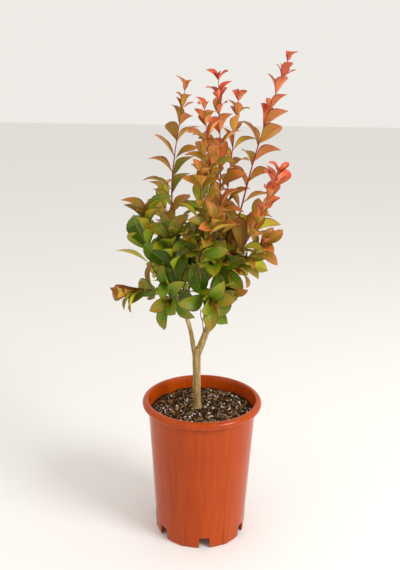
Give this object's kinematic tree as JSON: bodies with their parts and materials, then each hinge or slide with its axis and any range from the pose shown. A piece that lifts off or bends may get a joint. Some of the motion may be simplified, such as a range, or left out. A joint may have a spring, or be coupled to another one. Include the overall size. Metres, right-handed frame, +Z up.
{
  "type": "potted crape myrtle",
  "caption": "Young crape myrtle with a forked trunk and upright leafy shoots, standing in a deep plastic nursery pot with a rolled rim and drain notches.",
  "frame": {"origin": "centre of the pot's flat underside, on the plane the pot stands on", "axes": "+Z up along the pot's axis, -Y towards the front of the plant, +X to the right seen from the front"},
  "size_m": [0.2568, 0.2224, 0.726],
  "materials": {
    "pot": "glossy moulded terracotta-coloured plastic",
    "growing_mix": "coarse moist coir and bark with white perlite",
    "bark": "smooth tan bark, slightly mottled",
    "foliage_green": "mature green leaves with a soft gloss",
    "foliage_bronze": "bronze and olive leaves with a soft gloss",
    "foliage_red": "young coral and orange leaves with a soft gloss"
  },
  "bodies": {
    "root": {"pot": "pot", "growing_mix": "growing_mix", "trunk": "bark", "bough_right": "bark", "bough_left": "bark", "branchlet_front": "bark", "foliage_tall_right": "foliage_red", "foliage_red_right": "foliage_red", "foliage_centre": "foliage_red", "foliage_back_right": "foliage_red", "foliage_front": "foliage_red", "foliage_spire_left": "foliage_red", "foliage_front_short": "foliage_bronze", "foliage_back_centre": "foliage_bronze", "foliage_back_left": "foliage_bronze", "foliage_front_pink": "foliage_bronze", "foliage_left": "foliage_green", "foliage_left_heart": "foliage_green", "foliage_left_low": "foliage_green", "foliage_foot_left": "foliage_green", "foliage_rosette": "foliage_green", "foliage_bough_front": "foliage_green", "foliage_right_low": "foliage_green", "foliage_back_low_left": "foliage_green", "foliage_back_low": "foliage_green", "foliage_back_right_low": "foliage_green"}
  },
  "joints": []
}
